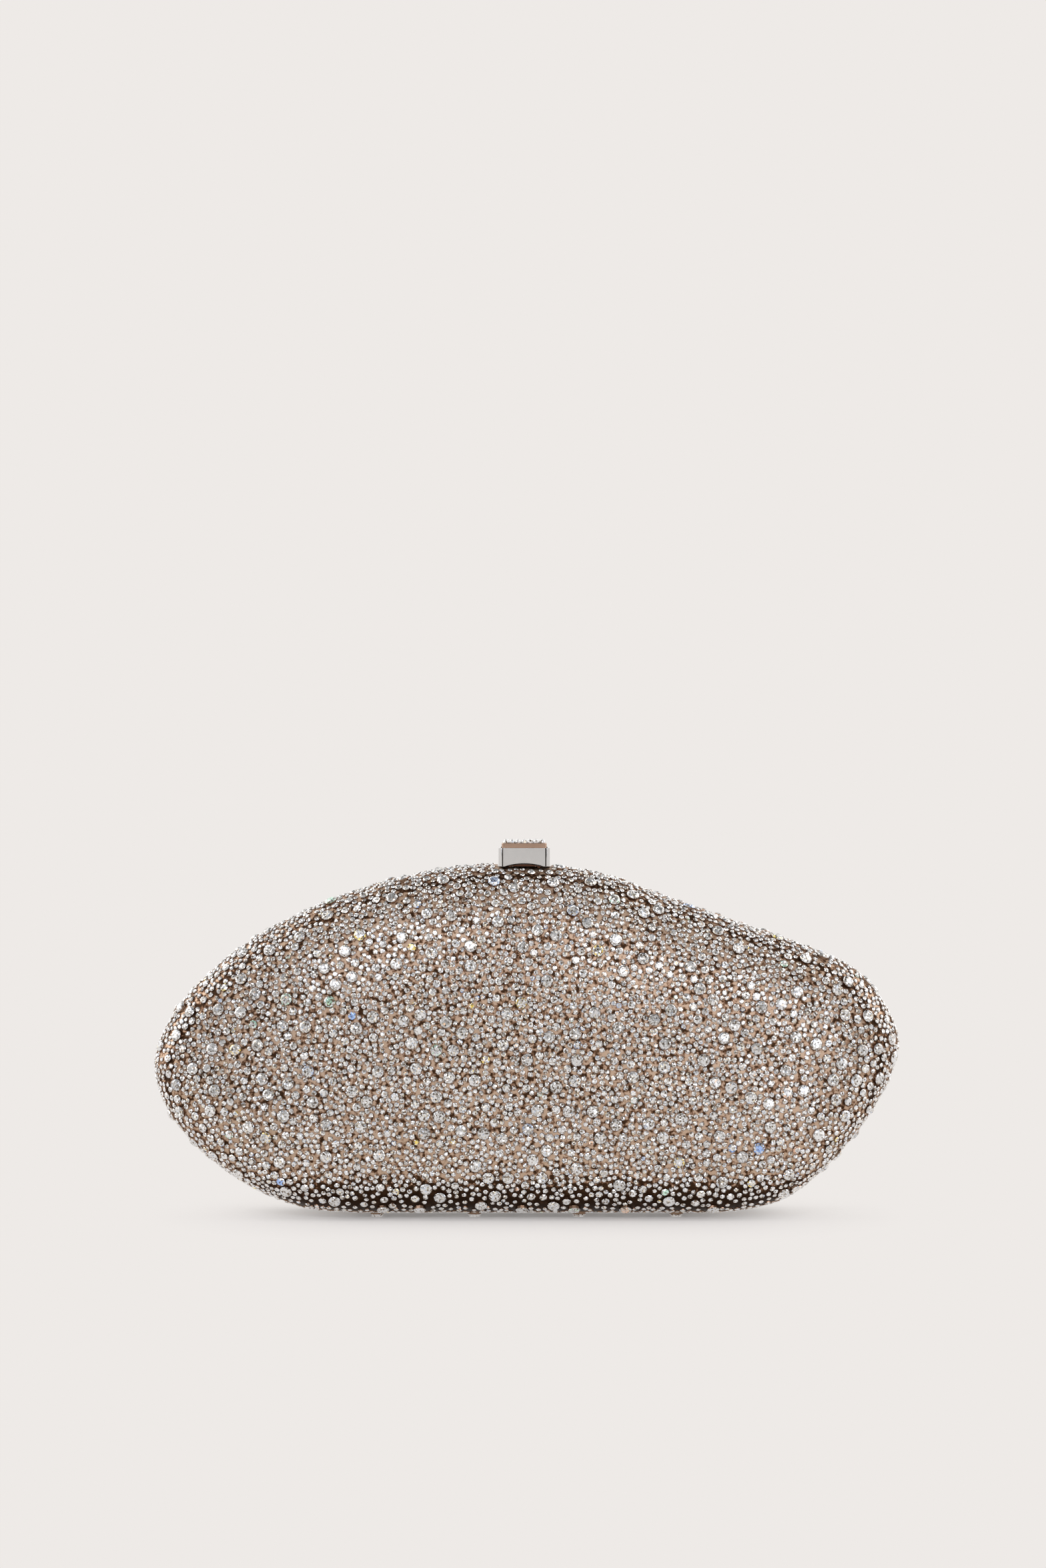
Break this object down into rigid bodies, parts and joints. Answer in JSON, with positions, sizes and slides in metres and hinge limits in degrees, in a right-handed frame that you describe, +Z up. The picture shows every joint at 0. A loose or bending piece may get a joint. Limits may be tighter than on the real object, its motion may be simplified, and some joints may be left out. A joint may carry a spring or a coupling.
{
  "type": "clutch bag",
  "caption": "Hard evening clutch: two crystal-set metal half shells on a bottom hinge, closed by a square push-button clasp on top.",
  "frame": {"origin": "on the floor under the middle of the bag's overall box; the bag stands on its stones", "axes": "+X along the bag's length, +Y through its thickness from the opening front half to the fixed back half, +Z up through the clasp"},
  "size_m": [0.239, 0.054, 0.1194],
  "materials": {
    "crystal_set_shell": "polished bronze-toned plating set all over with clear faceted crystals",
    "bright_bronze": "polished bronze-toned plating",
    "silver_clasp": "mirror polished",
    "steel": "plain machined",
    "satin_lining": "satin over a thin moulded tray"
  },
  "bodies": {
    "back_half": {"back_shell": "crystal_set_shell", "back_frame": "bright_bronze", "back_lining": "satin_lining", "back_hinge_leaf": "steel", "hinge_pin": "steel", "back_hinge_rivet_1": "steel", "back_hinge_rivet_2": "steel", "back_hinge_rivet_3": "steel", "clasp_block": "silver_clasp", "clasp_bracket": "steel", "clasp_screw_1": "steel", "clasp_screw_2": "steel", "clasp_spring": "steel"},
    "front_half": {"front_shell": "crystal_set_shell", "front_frame": "bright_bronze", "front_lining": "satin_lining", "front_hinge_leaf": "steel", "front_hinge_rivet_1": "steel", "front_hinge_rivet_2": "steel", "front_hinge_rivet_3": "steel", "strike": "bright_bronze", "strike_nut_1": "steel", "strike_nut_2": "steel"},
    "push_button": {"button_cap": "bright_bronze", "catch": "steel", "catch_pin": "steel"}
  },
  "joints": [
    {"name": "front_half_hinge", "type": "hinge", "parent": "back_half", "child": "front_half", "pos_m": [0, 0, 0.00145], "axis": [1, 0, 0], "range_deg": [0, 75]},
    {"name": "button_slide", "type": "slide", "parent": "back_half", "child": "push_button", "axis": [0, 0, -1], "range_m": [0, 0.0018], "stiffness_N_per_m": 800, "springref_m": -0.002, "deforming": ["clasp_spring"]}
  ]
}
